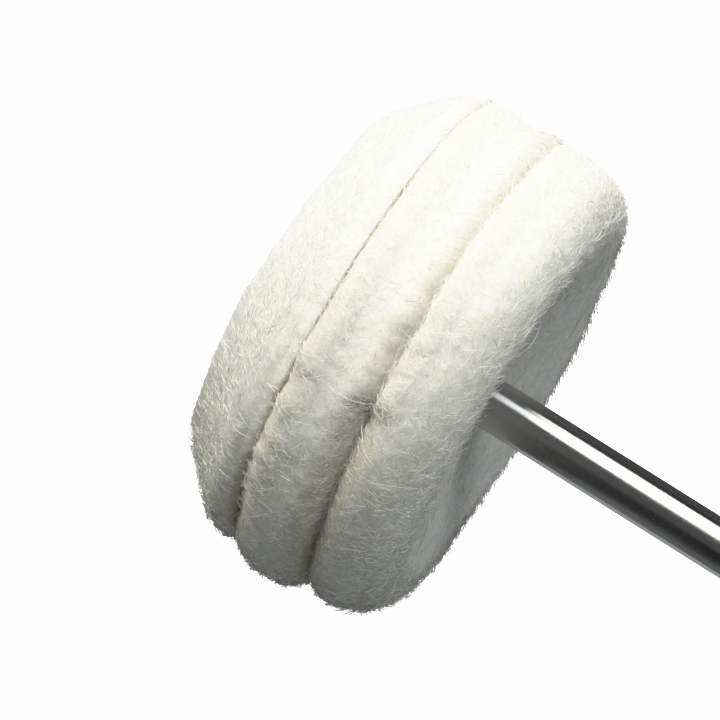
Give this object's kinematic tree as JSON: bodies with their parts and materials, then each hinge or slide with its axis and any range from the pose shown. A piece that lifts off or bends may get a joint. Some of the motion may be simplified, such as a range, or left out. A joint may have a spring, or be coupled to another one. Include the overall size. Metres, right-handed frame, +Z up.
{
  "type": "felt polishing wheel",
  "caption": "Small mounted polishing wheel of thick wool felt discs pinched on a plain steel shank, for buffing stones and metal with a rotary handpiece.",
  "frame": {"origin": "on the spin axis, in the plane of the shank's shoulder, where the wheel is seated and the plain shank begins", "axes": "+Y along the spin axis from the wheel out along the shank, +Z up, +X to the right when looking along +Y"},
  "size_m": [0.0229, 0.0446, 0.0228],
  "materials": {
    "shank_steel": "ground and polished round",
    "wool_felt": "soft undyed wool felt with a raised nap",
    "washer_steel": "stamped, zinc-bright",
    "pin_steel": "cold-headed, bright"
  },
  "bodies": {
    "root": {"shank": "shank_steel", "ply_rear": "wool_felt", "ply_middle": "wool_felt", "ply_front": "wool_felt", "front_washer": "washer_steel", "rivet_pin": "pin_steel"}
  },
  "joints": []
}
